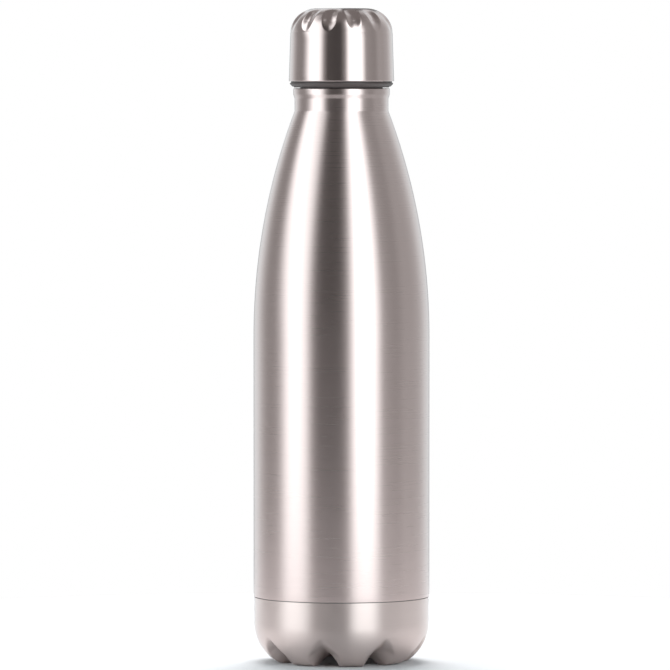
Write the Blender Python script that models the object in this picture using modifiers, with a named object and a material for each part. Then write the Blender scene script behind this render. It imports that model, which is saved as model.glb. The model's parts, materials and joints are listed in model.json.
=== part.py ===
"""Insulated water bottle: a double-walled steel vacuum flask with a screw-in stopper under a steel cap.

Metres, +Z up. The origin is on the bottle's axis, on the surface that its feet stand on.
"""
from math import atan2, cos, degrees, hypot, pi, radians, sin, sqrt

import bmesh
import bpy
from mathutils import Matrix

MM = 0.001

# Driving sizes of the bottle, in metres
BODY_RADIUS = 35.0 * MM
HEIGHT = 260.0 * MM
STEEL = 0.4 * MM             # wall of every pressed steel shell
GAP = 0.3 * MM               # clearance between pieces that touch

# Outer shell: straight body, arched shoulder, short neck and rolled lip
SEAM_Z = 26.0 * MM           # joint between the shell and the base cup
SHOULDER_Z = 130.0 * MM      # where the straight body ends
SHOULDER_BEND = 253.0 * MM   # radius of the shoulder's arch, tangent to the body
NECK_FOOT_Z = 219.0 * MM
NECK_RADIUS = 18.7 * MM
LIP_TOP_Z = 228.3 * MM
LIP_RADIUS = 19.2 * MM
LIP_ROUND = 0.55 * MM

# Base cup: eight feet with a V-shaped dent between each two
CUP_RADIUS = 34.8 * MM
FOOT_COUNT = 8
CUP_ROUND = 18.7 * MM        # large round between the wall and the feet
CUP_ROUND_Z = 16.0 * MM
TOE_ANGLE = 52.0             # degrees of the large round before the toe's smaller one
FOOT_FLAT = 2.2 * MM         # width of the flat that the bottle stands on
HEEL_ROUND = 4.0 * MM
HEEL_ANGLE = 50.0
DENT_TOP_Z = 12.4 * MM
DENT_HALF_ANGLE = 11.25      # degrees, where the dent is widest
CENTRE_RISE = 3.4 * MM       # height of the cup's middle above the ground

# Inner flask and what stands in the vacuum around it
FLASK_RADIUS = 31.3 * MM
FLASK_SHOULDER_Z = 127.0 * MM
FLASK_WELD_Z = 30.0 * MM
FLASK_NECK_RADIUS = 17.5 * MM
FLASK_NECK_Z = 208.0 * MM
FLASK_DOME_Z = 23.5 * MM
END_PLATE_RADIUS = 33.9 * MM
END_PLATE_Z = 15.0 * MM
PORT_RADIUS = 0.75 * MM      # hole that the air was drawn out through
FOIL = 0.1 * MM

# Screw thread between the neck and the stopper
PITCH = 4.5 * MM
THREAD_TURNS = 2.0
THREAD_FADE = 0.12           # part of a turn over which a thread's end runs out
THREAD_END = 0.08            # share of the ridge's height that is left at its very end
STOPPER_THREAD_Z = 212.5 * MM
RIDGE_ROOT = 0.95 * MM       # half the ridge's width at its root
RIDGE_CREST = 0.40 * MM      # half its width at its crest
RIDGE_BITE = 0.25 * MM       # how far its root is sunk in the wall it stands on
NECK_CREST_RADIUS = 15.8 * MM
STOPPER_CREST_RADIUS = 16.5 * MM

# Cap: fluted steel shell over the plastic stopper
CAP_RIM_Z = 230.5 * MM
CAP_RIM_RADIUS = 20.9 * MM
CAP_WAIST_Z = 250.0 * MM
CAP_WAIST_RADIUS = 20.3 * MM
FLUTE_COUNT = 12
FLUTE_DEPTH = 1.1 * MM
FLUTE_HALF_ANGLE = 7.5
FLUTE_LOW_Z = 251.5 * MM
FLUTE_INNER_RADIUS = 12.5 * MM
CAP_CLOCKING = -9.0          # degrees the closed cap's ridges are turned from +X

STOPPER_RADIUS = 15.2 * MM   # plug between its thread ridges
STOPPER_BORE = 13.8 * MM
PLUG_FOOT_Z = 208.0 * MM

SIDES = 32                   # facets round an inner turned piece
SHELL_SIDES = 40
DENTED_SIDES = 48            # facets round the base cup and the cap


def clear_scene():
    for old in list(bpy.data.objects):
        bpy.data.objects.remove(old, do_unlink=True)


def new_collection(name):
    collection = bpy.data.collections.new(name)
    bpy.context.scene.collection.children.link(collection)
    return collection


def finish(name, colour, roughness, metallic):
    """A Principled material."""
    material = bpy.data.materials.new(name)
    material.use_nodes = True
    shader = material.node_tree.nodes["Principled BSDF"]
    shader.inputs["Base Color"].default_value = (*colour, 1.0)
    shader.inputs["Roughness"].default_value = roughness
    shader.inputs["Metallic"].default_value = metallic
    return material


def arc(centre, radius, start, end, steps):
    """Points (r, z) on an arc, with angles in degrees from +r towards +z."""
    points = []
    for k in range(steps + 1):
        angle = radians(start + (end - start) * k / steps)
        points.append((centre[0] + radius * cos(angle), centre[1] + radius * sin(angle)))
    return points


def add_object(name, mesh, material, collection):
    piece = bpy.data.objects.new(name, mesh)
    mesh.materials.append(material)
    collection.objects.link(piece)
    return piece


def turned(name, profile, material, sides=SIDES, closed=False):
    """A profile in the XZ plane, from the top down its outer side, turned about Z."""
    mesh = bpy.data.meshes.new(name)
    form = bmesh.new()
    verts = [form.verts.new((r, 0.0, z)) for r, z in profile]
    ends = verts[1:] + verts[:1] if closed else verts[1:]
    for low, high in zip(verts, ends):
        form.edges.new((low, high))
    form.to_mesh(mesh)
    form.free()
    piece = add_object(name, mesh, material, parts)
    screw = piece.modifiers.new("turn", "SCREW")
    screw.steps = sides
    screw.render_steps = sides
    screw.use_merge_vertices = True
    screw.merge_threshold = 0.00001
    return piece


def give_wall(piece, thickness, offset=-1.0):
    """Thicken an open surface, inwards unless offset says otherwise."""
    wall = piece.modifiers.new("wall", "SOLIDIFY")
    wall.thickness = thickness
    wall.offset = offset
    wall.use_even_offset = True


def spun_mesh(name, profile, sides, move):
    """A profile spun about Z into one smooth mesh, each point then placed by move(ring, angle)."""
    mesh = bpy.data.meshes.new(name)
    form = bmesh.new()
    verts = [form.verts.new((r, 0.0, z)) for r, z in profile]
    edges = [form.edges.new(pair) for pair in zip(verts, verts[1:])]
    bmesh.ops.spin(form, geom=verts + edges, cent=(0, 0, 0), axis=(0, 0, 1), angle=2 * pi,
                   steps=sides, use_merge=True)
    bmesh.ops.remove_doubles(form, verts=form.verts, dist=0.00001)
    for vert in form.verts:
        away = hypot(vert.co.x, vert.co.y)
        ring = min(range(len(profile)),
                   key=lambda k: hypot(profile[k][0] - away, profile[k][1] - vert.co.z))
        angle = atan2(vert.co.y, vert.co.x)
        r, z = move(ring, angle)
        vert.co = (r * cos(angle), r * sin(angle), z)
    bmesh.ops.recalc_face_normals(form, faces=form.faces)
    form.to_mesh(mesh)
    form.free()
    mesh.shade_smooth()
    mesh.set_sharp_from_angle(angle=radians(40))
    return mesh


def along(points, count, start=0.0):
    """count points at even steps of length along a line of points, from a share of it on."""
    spans = [hypot(b[0] - a[0], b[1] - a[1]) for a, b in zip(points, points[1:])]
    total = sum(spans)
    result = []
    for k in range(count):
        left = total * (start + (1 - start) * k / (count - 1))
        for (a, b), span in zip(zip(points, points[1:]), spans):
            if left <= span or b is points[-1]:
                share = min(left / span, 1.0)
                result.append((a[0] + (b[0] - a[0]) * share, a[1] + (b[1] - a[1]) * share))
                break
            left -= span
    return result


def nearest_turn(offset, period):
    """The angle from the nearest multiple of period, in degrees."""
    return abs(offset - period * round(offset / period))


def thread(name, wall_radius, crest_radius, low_z):
    """A right-handed trapezoid ridge on a wall, run out to nothing at both ends, as a cutter."""
    outward = 1 if crest_radius > wall_radius else -1
    root = wall_radius - outward * RIDGE_BITE
    form = bmesh.new()
    section = [(root, -RIDGE_ROOT), (crest_radius, -RIDGE_CREST),
               (crest_radius, RIDGE_CREST), (root, RIDGE_ROOT)]
    face = form.faces.new([form.verts.new((r, 0.0, low_z + z)) for r, z in section])
    steps = round(SIDES * THREAD_TURNS)
    geometry = list(face.verts) + list(face.edges) + [face]
    bmesh.ops.spin(form, geom=geometry, cent=(0, 0, 0), axis=(0, 0, 1),
                   dvec=(0, 0, PITCH / SIDES), angle=2 * pi * THREAD_TURNS, steps=steps)
    for vert in form.verts:
        share = atan2(vert.co.y, vert.co.x) / (2 * pi)
        turn = share + round((vert.co.z - low_z) / PITCH - share)
        height = min(1.0, max(0.0, min(turn, THREAD_TURNS - turn)) / THREAD_FADE)
        away = hypot(vert.co.x, vert.co.y)
        new = root + (away - root) * (THREAD_END + (1 - THREAD_END) * height)
        vert.co.x *= new / away
        vert.co.y *= new / away
    # Half a facet round, the ridge's steps don't fall on the wall's own edges
    bmesh.ops.rotate(form, verts=form.verts, cent=(0, 0, 0), matrix=Matrix.Rotation(pi / SIDES, 3, "Z"))
    bmesh.ops.recalc_face_normals(form, faces=form.faces)
    mesh = bpy.data.meshes.new(name)
    form.to_mesh(mesh)
    form.free()
    ridge = bpy.data.objects.new(name, mesh)
    ridge.hide_render = True
    ridge.display_type = "WIRE"
    cutters.objects.link(ridge)
    return ridge


def join_ridge(piece, ridge):
    union = piece.modifiers.new("thread", "BOOLEAN")
    union.operation = "UNION"
    union.solver = "EXACT"
    union.object = ridge


def outer_shell(material):
    """Spun steel shell: lip, neck, shoulder and straight body."""
    centre = BODY_RADIUS - SHOULDER_BEND
    rise = NECK_FOOT_Z - SHOULDER_Z
    slope = degrees(atan2(rise, sqrt(SHOULDER_BEND ** 2 - rise ** 2)))
    lip_middle = (LIP_RADIUS - LIP_ROUND, LIP_TOP_Z - LIP_ROUND)
    profile = [(FLASK_NECK_RADIUS + GAP, LIP_TOP_Z)]
    profile += arc(lip_middle, LIP_ROUND, 90, 0, 3)
    profile += [(LIP_RADIUS, LIP_TOP_Z - 2.1 * MM), (NECK_RADIUS, LIP_TOP_Z - 4.5 * MM)]
    profile += arc((centre, SHOULDER_Z), SHOULDER_BEND, slope, 0, 7)
    profile.append((BODY_RADIUS, SEAM_Z + GAP / 2))
    shell = turned("outer_shell", profile, material, sides=SHELL_SIDES)
    give_wall(shell, STEEL)


def base_cup(material):
    """Pressed steel cup under the seam, standing on eight feet."""
    round_middle = (CUP_RADIUS - CUP_ROUND, CUP_ROUND_Z)
    wall_angle = degrees(atan2(DENT_TOP_Z - CUP_ROUND_Z, CUP_ROUND))
    below = CUP_ROUND * sin(radians(TOE_ANGLE))
    toe_round = (CUP_ROUND_Z - below) / (1 - sin(radians(TOE_ANGLE)))
    toe = round_middle[0] + CUP_ROUND * cos(radians(TOE_ANGLE))
    toe_middle = (toe - toe_round * cos(radians(TOE_ANGLE)), toe_round)
    heel_middle = (toe_middle[0] - FOOT_FLAT, HEEL_ROUND)
    foot = arc(round_middle, CUP_ROUND, wall_angle, -TOE_ANGLE, 24)
    foot += arc(toe_middle, toe_round, -TOE_ANGLE, -90, 8)
    foot += arc(heel_middle, HEEL_ROUND, -90, -90 - HEEL_ANGLE, 8)
    foot += [(14.0 * MM, CENTRE_RISE - 0.5 * MM), (0.0, CENTRE_RISE)]

    # The dent's floor is a shallow dome, an ellipse from the wall to the middle
    dome = []
    for k in range(25):
        angle = radians(90 * k / 24)
        dome.append((foot[0][0] * cos(angle),
                     DENT_TOP_Z - (DENT_TOP_Z - CENTRE_RISE) * sin(angle)))
    low = along(foot, 14)
    flat_out = min(range(14), key=lambda k: abs(low[k][0] - toe_middle[0]))
    low[flat_out] = (toe_middle[0], 0.0)
    low[flat_out + 1] = (heel_middle[0], 0.0)
    high = along(dome, 14)
    wall = [(CUP_RADIUS, SEAM_Z - GAP / 2), (CUP_RADIUS, CUP_ROUND_Z)]
    profile = wall + low
    period = 360 / FOOT_COUNT

    def place(ring, angle):
        if ring < len(wall):
            return profile[ring]
        step = ring - len(wall)
        widening = min(1.0, step / 3)
        off = nearest_turn(degrees(angle) - period / 2, period)
        depth = max(0.0, 1 - off / max(DENT_HALF_ANGLE * widening, 0.01))
        flat = low[step]
        return tuple(a + (b - a) * depth for a, b in zip(flat, high[step]))

    mesh = spun_mesh("base_cup", profile, DENTED_SIDES, place)
    give_wall(add_object("base_cup", mesh, material, parts), STEEL)


def vacuum_end_plate(material):
    """Pressed plate that closes the outer shell, with the port that the air was drawn out of."""
    corner = 5.0 * MM
    dimple = 1.4 * MM
    profile = [(END_PLATE_RADIUS, SEAM_Z + 6 * MM)]
    profile += arc((END_PLATE_RADIUS - corner, END_PLATE_Z + corner), corner, 0, -90, 3)
    profile += [(6.5 * MM, END_PLATE_Z), (5.0 * MM, END_PLATE_Z + dimple),
                (PORT_RADIUS, END_PLATE_Z + dimple)]
    give_wall(turned("vacuum_end_plate", profile, material), STEEL)


def glass_seal_bead(material):
    """Solder glass melted over the port, lying in the plate's dimple."""
    half = 3.6 * MM
    crown = 0.9 * MM
    middle = END_PLATE_Z + 0.1 * MM
    profile = [(0.0, middle + crown)]
    profile += [(half * sin(radians(a)), middle + crown * cos(radians(a))) for a in (30, 60, 90)]
    profile += [(half * 0.7, middle - crown * 0.5), (0.0, middle - crown * 0.7)]
    turned("glass_seal_bead", profile, material, sides=16)


def flask_arch():
    """Radius of the inner flask's shoulder arch, tangent to its body and meeting its neck."""
    rise = FLASK_NECK_Z - FLASK_SHOULDER_Z
    drop = FLASK_RADIUS - FLASK_NECK_RADIUS
    return (rise ** 2 + drop ** 2) / (2 * drop)


def inner_flask(material):
    """The wall that touches the drink, with the neck thread rolled into it."""
    bend = flask_arch()
    rise = FLASK_NECK_Z - FLASK_SHOULDER_Z
    slope = degrees(atan2(rise, bend - (FLASK_RADIUS - FLASK_NECK_RADIUS)))
    profile = [(FLASK_NECK_RADIUS, LIP_TOP_Z), (FLASK_NECK_RADIUS, FLASK_NECK_Z + 9 * MM)]
    profile += arc((FLASK_RADIUS - bend, FLASK_SHOULDER_Z), bend, slope, 0, 6)
    profile.append((FLASK_RADIUS, FLASK_WELD_Z + GAP / 2))
    flask = turned("inner_flask", profile, material)
    give_wall(flask, STEEL)
    bore = FLASK_NECK_RADIUS - STEEL
    join_ridge(flask, thread("neck_thread", bore, NECK_CREST_RADIUS, STOPPER_THREAD_Z + PITCH / 2))


def inner_flask_base(material):
    """Domed disc welded under the inner flask."""
    corner = 4.5 * MM
    profile = [(FLASK_RADIUS, FLASK_WELD_Z - GAP / 2)]
    profile += arc((FLASK_RADIUS - corner, FLASK_WELD_Z - 4 * MM), corner, 0, -80, 3)
    profile += [(15 * MM, FLASK_DOME_Z - 0.7 * MM), (0.0, FLASK_DOME_Z)]
    give_wall(turned("inner_flask_base", profile, material), STEEL)


def copper_foil_wrap(material):
    """Foil round the flask's body and the start of its shoulder, which keeps radiant heat in."""
    bend = flask_arch()
    skin = FLASK_RADIUS + GAP
    profile = arc((FLASK_RADIUS - bend, FLASK_SHOULDER_Z), bend + GAP, 12, 0, 3)
    profile.append((skin, FLASK_WELD_Z + 4 * MM))
    give_wall(turned("copper_foil_wrap", profile, material), FOIL, offset=1.0)


def getter(clip_material, pellet_material):
    """Gas-absorbing pellet in a bent strip that is spot-welded under the flask's base."""
    strip_half = 2.5 * MM
    top = FLASK_DOME_Z - 0.95 * MM
    low = FLASK_DOME_Z - 4.2 * MM
    reach = 8.5 * MM
    leg = 5.2 * MM
    outline = [(-reach, top), (-leg, top), (-leg, low), (leg, low), (leg, top), (reach, top)]
    form = bmesh.new()
    verts = [form.verts.new((x, -strip_half, z)) for x, z in outline]
    edges = [form.edges.new(pair) for pair in zip(verts, verts[1:])]
    grown = bmesh.ops.extrude_edge_only(form, edges=edges)
    new = [item for item in grown["geom"] if isinstance(item, bmesh.types.BMVert)]
    bmesh.ops.translate(form, verts=new, vec=(0, 2 * strip_half, 0))
    bmesh.ops.recalc_face_normals(form, faces=form.faces)
    mesh = bpy.data.meshes.new("getter_clip")
    form.to_mesh(mesh)
    form.free()
    give_wall(add_object("getter_clip", mesh, clip_material, parts), STEEL, offset=0.0)

    pellet = 4.0 * MM
    floor = low + STEEL / 2 + GAP
    turned("getter_pellet",
           [(0.0, floor + 1.8 * MM), (pellet, floor + 1.8 * MM), (pellet, floor), (0.0, floor)],
           pellet_material, sides=20)


def cap_shell(material):
    """Deep-drawn steel cap with flutes pressed into its top edge."""
    shoulder = [(CAP_WAIST_RADIUS - 0.5 * MM, 252.9 * MM), (CAP_WAIST_RADIUS - 1.2 * MM, 254.6 * MM),
                (CAP_WAIST_RADIUS - 2.6 * MM, 256.7 * MM), (CAP_WAIST_RADIUS - 4.9 * MM, 258.5 * MM)]
    top = [(FLUTE_INNER_RADIUS, HEIGHT - 0.3 * MM), (9.5 * MM, HEIGHT), (0.0, HEIGHT)]
    profile = top[::-1] + shoulder[::-1]
    profile += [(CAP_WAIST_RADIUS, FLUTE_LOW_Z - 0.6 * MM), (CAP_RIM_RADIUS, CAP_RIM_Z)]
    share = [0, 0, 0, 0.55, 1.0, 0.95, 0.6, 0, 0]  # how deep the flute is at each ring
    middle = (0.0, 240 * MM)  # the flutes are pressed towards this point
    period = 360 / FLUTE_COUNT

    def place(ring, angle):
        r, z = profile[ring]
        off = nearest_turn(degrees(angle) - period / 2, period)
        depth = FLUTE_DEPTH * share[ring] * max(0.0, 1 - off / FLUTE_HALF_ANGLE)
        away = hypot(r - middle[0], z - middle[1])
        return (r - (r - middle[0]) / away * depth, z - (z - middle[1]) / away * depth)

    mesh = spun_mesh("cap_shell", profile, DENTED_SIDES, place)
    cap = add_object("cap_shell", mesh, material, parts)
    give_wall(cap, STEEL)
    cap.parent = cap_axis


def stopper_core(material):
    """Moulded stopper: sleeve inside the cap, flange with the seal's groove, and threaded plug."""
    sleeve = CAP_RIM_RADIUS - STEEL - GAP - 0.1 * MM
    shoulder_z = CAP_WAIST_Z - 1 * MM
    crown = 255.5 * MM
    skin = 1.4 * MM
    flange = CAP_RIM_Z - GAP
    plug = 16.4 * MM
    outside = [
        (0.0, crown), (14.5 * MM, crown), (sleeve - 0.6 * MM, shoulder_z), (sleeve, flange),
        (flange_radius, flange), (flange_radius, flange - 0.2 * MM),
        (groove_radius + 0.2 * MM, flange - 1.2 * MM), (groove_radius, flange - 1.2 * MM),
        (groove_radius, seal_top + GAP), (plug, seal_top + GAP), (plug, LIP_TOP_Z - 4.0 * MM),
        (STOPPER_RADIUS, LIP_TOP_Z - 5.0 * MM), (STOPPER_RADIUS, PLUG_FOOT_Z + 1.5 * MM),
    ]
    inside = [
        (STOPPER_BORE, PLUG_FOOT_Z + 1.5 * MM), (STOPPER_BORE, flange + 1.3 * MM),
        (sleeve - skin, flange + 2.3 * MM), (sleeve - skin - 0.4 * MM, shoulder_z - 1 * MM),
        (13.8 * MM, crown - skin), (0.0, crown - skin),
    ]
    core = turned("stopper_core", outside + inside, material)
    join_ridge(core, thread("stopper_thread", STOPPER_RADIUS, STOPPER_CREST_RADIUS, STOPPER_THREAD_Z))
    core.parent = cap_axis


def stopper_foam(material):
    """Insulating foam that fills the hollow of the stopper."""
    sleeve = CAP_RIM_RADIUS - STEEL - GAP - 0.1 * MM - 1.4 * MM
    bore = STOPPER_BORE - GAP
    profile = [
        (0.0, 253.8 * MM), (bore - 0.1 * MM, 253.8 * MM),
        (sleeve - GAP - 0.4 * MM, CAP_WAIST_Z - 2.2 * MM), (sleeve - GAP, CAP_RIM_Z + 2.4 * MM),
        (bore, CAP_RIM_Z + 1.4 * MM), (bore, PLUG_FOOT_Z + 3.6 * MM), (0.0, PLUG_FOOT_Z + 3.6 * MM),
    ]
    turned("stopper_foam", profile, material).parent = cap_axis


def stopper_end_disc(material):
    """Disc welded into the plug's foot, which keeps the drink out of the foam."""
    spigot = STOPPER_BORE - GAP
    top = PLUG_FOOT_Z + 3.3 * MM
    step = PLUG_FOOT_Z + 1.2 * MM
    profile = [(0.0, top), (spigot, top), (spigot, step), (STOPPER_RADIUS, step),
               (STOPPER_RADIUS, PLUG_FOOT_Z + 0.5 * MM), (STOPPER_RADIUS - 0.5 * MM, PLUG_FOOT_Z),
               (0.0, PLUG_FOOT_Z)]
    turned("stopper_end_disc", profile, material).parent = cap_axis


def seal_ring(material):
    """Silicone ring pressed between the stopper's flange and the bottle's lip."""
    inner = FLASK_NECK_RADIUS - 0.2 * MM
    outer = groove_radius - GAP
    low = LIP_TOP_Z + GAP
    chamfer = 0.2 * MM
    profile = [(inner, seal_top), (outer - chamfer, seal_top), (outer, seal_top - chamfer),
               (outer, low + chamfer), (outer - chamfer, low), (inner, low)]
    turned("seal_ring", profile, material, closed=True)


clear_scene()
parts = new_collection("insulated_water_bottle")
cutters = new_collection("cutters")
cap_axis = bpy.data.objects.new("cap_axis", None)
cap_axis.rotation_euler = (0.0, 0.0, radians(CAP_CLOCKING))
parts.objects.link(cap_axis)
flange_radius = CAP_RIM_RADIUS - STEEL
groove_radius = LIP_RADIUS + 0.1 * MM
seal_top = LIP_TOP_Z + GAP + 1.05 * MM

brushed_steel = finish("brushed_steel", (0.62, 0.58, 0.57), 0.30, 1.0)
polished_steel = finish("polished_steel", (0.62, 0.60, 0.58), 0.18, 1.0)
mill_steel = finish("mill_steel", (0.50, 0.49, 0.48), 0.45, 1.0)
copper = finish("copper", (0.72, 0.33, 0.20), 0.30, 1.0)
glass = finish("solder_glass", (0.08, 0.10, 0.08), 0.15, 0.0)
ceramic = finish("getter_alloy", (0.20, 0.20, 0.21), 0.80, 0.2)
black_plastic = finish("black_polypropylene", (0.02, 0.02, 0.02), 0.45, 0.0)
black_silicone = finish("black_silicone", (0.015, 0.015, 0.015), 0.60, 0.0)
foam = finish("white_foam", (0.80, 0.78, 0.72), 0.90, 0.0)

outer_shell(brushed_steel)
base_cup(brushed_steel)
vacuum_end_plate(mill_steel)
glass_seal_bead(glass)
inner_flask(polished_steel)
inner_flask_base(polished_steel)
copper_foil_wrap(copper)
getter(mill_steel, ceramic)
seal_ring(black_silicone)
cap_shell(brushed_steel)
stopper_core(black_plastic)
stopper_foam(foam)
stopper_end_disc(black_plastic)
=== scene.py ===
"""Insulated water bottle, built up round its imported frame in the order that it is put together."""
import json
from math import atan2, ceil, cos, hypot, pi, prod, radians, sin, sqrt, tan

import bmesh
import bpy
from mathutils import Matrix, Vector

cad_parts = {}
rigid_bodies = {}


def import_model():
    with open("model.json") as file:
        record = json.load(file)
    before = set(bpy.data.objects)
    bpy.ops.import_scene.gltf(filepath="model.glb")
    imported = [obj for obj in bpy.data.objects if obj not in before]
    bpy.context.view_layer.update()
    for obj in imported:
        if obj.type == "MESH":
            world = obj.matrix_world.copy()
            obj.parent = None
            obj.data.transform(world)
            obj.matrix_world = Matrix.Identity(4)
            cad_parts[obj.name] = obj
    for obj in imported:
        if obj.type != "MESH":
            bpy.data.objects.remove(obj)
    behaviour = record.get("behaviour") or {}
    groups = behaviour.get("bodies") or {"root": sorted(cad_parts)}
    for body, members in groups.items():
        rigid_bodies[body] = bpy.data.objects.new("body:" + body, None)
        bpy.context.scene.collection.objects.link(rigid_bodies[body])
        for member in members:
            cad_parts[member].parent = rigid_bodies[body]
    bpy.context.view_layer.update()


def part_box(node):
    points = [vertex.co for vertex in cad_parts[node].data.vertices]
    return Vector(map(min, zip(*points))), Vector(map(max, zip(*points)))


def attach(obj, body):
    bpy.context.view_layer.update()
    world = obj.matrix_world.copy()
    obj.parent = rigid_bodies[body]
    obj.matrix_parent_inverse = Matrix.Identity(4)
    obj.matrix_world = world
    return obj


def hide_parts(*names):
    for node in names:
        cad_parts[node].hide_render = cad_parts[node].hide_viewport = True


for leftover in list(bpy.data.objects):
    bpy.data.objects.remove(leftover, do_unlink=True)
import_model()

# ------------------------------------------------------------------ inner flask
# The wall that touches the drink: a tube of 18/8 stainless steel, drawn in at the shoulder by
# hydroforming and electropolished. Its neck thread is rolled into the sheet, so it shows on both sides.
MM = 0.001
SHEET = 0.4                                  # mm, wall of every pressed steel shell
LIP_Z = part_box("outer_shell")[1].z / MM
FLASK_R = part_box("inner_flask")[1].x / MM
FLASK_LOW_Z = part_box("inner_flask")[0].z / MM
FLASK_SHOULDER_Z = 127.0                     # where the wall starts to draw in
FLASK_BEND = 244.6                           # radius of the shoulder's arch
FLASK_NECK_R = 17.5
FLASK_NECK_Z = 208.0
FLASK_NECK_EASE = 4.0                        # round where the shoulder meets the neck
THREAD_PITCH = 4.5
THREAD_TURNS = 2.0
THREAD_DEPTH = 1.3
THREAD_FADE = 0.15                           # part of a turn in which the ridge runs out
STOPPER_THREAD_Z = 212.5
NECK_RIDGE_HALF = 1.35                       # half of the width of the ridge in the neck


def outline(*corners, step=2.5):
    """Points (r, z) in mm along straight runs, with each corner (r, z, ease) rounded to its own radius."""
    spots = [Vector(corner[:2]) for corner in corners]
    line = [spots[0]]
    for before, spot, after, corner in zip(spots, spots[1:], spots[2:], corners[1:]):
        ease = corner[2]
        back, on = (before - spot).normalized(), (after - spot).normalized()
        half = back.angle(on) / 2
        if ease == 0 or half > radians(89.9):
            line.append(spot)
            continue
        middle = spot + (back + on).normalized() * ease / sin(half)
        first = spot + back * ease / tan(half) - middle
        last = spot + on * ease / tan(half) - middle
        turn = first.angle_signed(last)
        count = max(2, ceil(abs(turn) / radians(7)), ceil(abs(turn) * ease / step))
        line += [middle + Matrix.Rotation(-turn * k / count, 2) @ first for k in range(count + 1)]
    line.append(spots[-1])
    points = [line[0]]
    for spot in line[1:]:
        run = spot - points[-1]
        if run.length > 0.001:
            cuts = max(1, ceil(run.length / step - 0.01))
            start = points[-1]
            points += [start + run * k / cuts for k in range(1, cuts + 1)]
    return points


def finer(points, low, high, step):
    """The same line, cut to short steps wherever it runs between two heights."""
    result = [points[0]]
    for spot in points[1:]:
        start = result[-1]
        run = spot - start
        inside = low <= min(start.y, spot.y) and max(start.y, spot.y) <= high
        cuts = max(1, ceil(run.length / step - 0.01)) if inside else 1
        result += [start + run * k / cuts for k in range(1, cuts + 1)]
    return result


def lathe(points, sides):
    """A line of points (r, z) in mm spun round the bottle's axis, as a bmesh in metres facing out."""
    form = bmesh.new()
    spots = [form.verts.new((r * MM, 0.0, z * MM)) for r, z in points]
    edges = [form.edges.new(pair) for pair in zip(spots, spots[1:])]
    bmesh.ops.spin(form, geom=spots + edges, cent=(0, 0, 0), axis=(0, 0, 1), angle=2 * pi,
                   steps=sides, use_merge=True)
    bmesh.ops.remove_doubles(form, verts=form.verts, dist=0.000002)
    bmesh.ops.recalc_face_normals(form, faces=form.faces)
    return form


def piece_of(form, name, material, body, node, crease=35):
    """The finished piece: shaded smooth but for its creases, riding on its body in its node's place."""
    mesh = bpy.data.meshes.new(name)
    form.to_mesh(mesh)
    form.free()
    mesh.shade_smooth()
    mesh.set_sharp_from_angle(angle=radians(crease))
    mesh.materials.append(material)
    piece = bpy.data.objects.new(name, mesh)
    bpy.context.scene.collection.objects.link(piece)
    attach(piece, body)
    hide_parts(node)
    return piece


def eased(share):
    """A share from 0 to 1 that leaves 0 and reaches 1 gently."""
    return share * share * (3 - 2 * share)


def thread_height(z, angle, start_z, half_width):
    """Share of a right-handed thread ridge's height at a place on its wall, z in mm."""
    share = angle / (2 * pi)
    turn = share + round((z - start_z) / THREAD_PITCH - share)
    off = abs(z - start_z - turn * THREAD_PITCH) / half_width
    run_out = min(1.0, max(0.0, min(turn, THREAD_TURNS - turn) / THREAD_FADE))
    return 0.0 if off >= 1 else (1 - off * off) ** 2 * eased(run_out)


def linear(code):
    """An sRGB hex colour as linear RGBA."""
    parts = [int(code[k:k + 2], 16) / 255 for k in (1, 3, 5)]
    return (*[c / 12.92 if c <= 0.04045 else ((c + 0.055) / 1.055) ** 2.4 for c in parts], 1.0)


def add(tree, kind, inputs=None, **settings):
    """A shader node with its settings, and each input either set to a value or linked to an output."""
    made = tree.nodes.new("ShaderNode" + kind)
    for name, value in settings.items():
        setattr(made, name, value)
    for name, value in (inputs or {}).items():
        if isinstance(value, bpy.types.NodeSocket):
            tree.links.new(value, made.inputs[name])
        else:
            made.inputs[name].default_value = value
    return made


def new_material(name):
    """An empty material and its Principled shader, wired to the output."""
    material = bpy.data.materials.new(name)
    material.use_nodes = True
    tree = material.node_tree
    return material, tree, tree.nodes["Principled BSDF"]


def turning_marks(tree, line_mm, run_mm, lean):
    """Fine lines left round a turned steel piece: noise drawn out along the turning direction.

    Lines lie across both z and the radius, so lean -1 suits a piece that closes upwards, 1 one that
    closes downwards."""
    place = add(tree, "TexCoord").outputs["Object"]
    flat = add(tree, "VectorMath", {0: place, 1: (1.0, 1.0, 0.0)}, operation="MULTIPLY")
    radius = add(tree, "VectorMath", {0: flat.outputs[0]}, operation="LENGTH").outputs["Value"]
    height = add(tree, "SeparateXYZ", {0: place}).outputs["Z"]
    across = add(tree, "Math", {0: radius, 1: lean, 2: height}, operation="MULTIPLY_ADD").outputs[0]
    fine = add(tree, "Math", {0: across, 1: 1 / (line_mm * MM)}, operation="MULTIPLY").outputs[0]
    runs = add(tree, "VectorMath", {0: flat.outputs[0], "Scale": 1 / (run_mm * MM)}, operation="SCALE")
    lift = add(tree, "CombineXYZ", {"Z": fine}).outputs[0]
    where = add(tree, "VectorMath", {0: runs.outputs[0], 1: lift}, operation="ADD").outputs[0]
    return add(tree, "TexNoise", {"Vector": where, "Scale": 1.0, "Detail": 3.0, "Roughness": 0.6})


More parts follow.
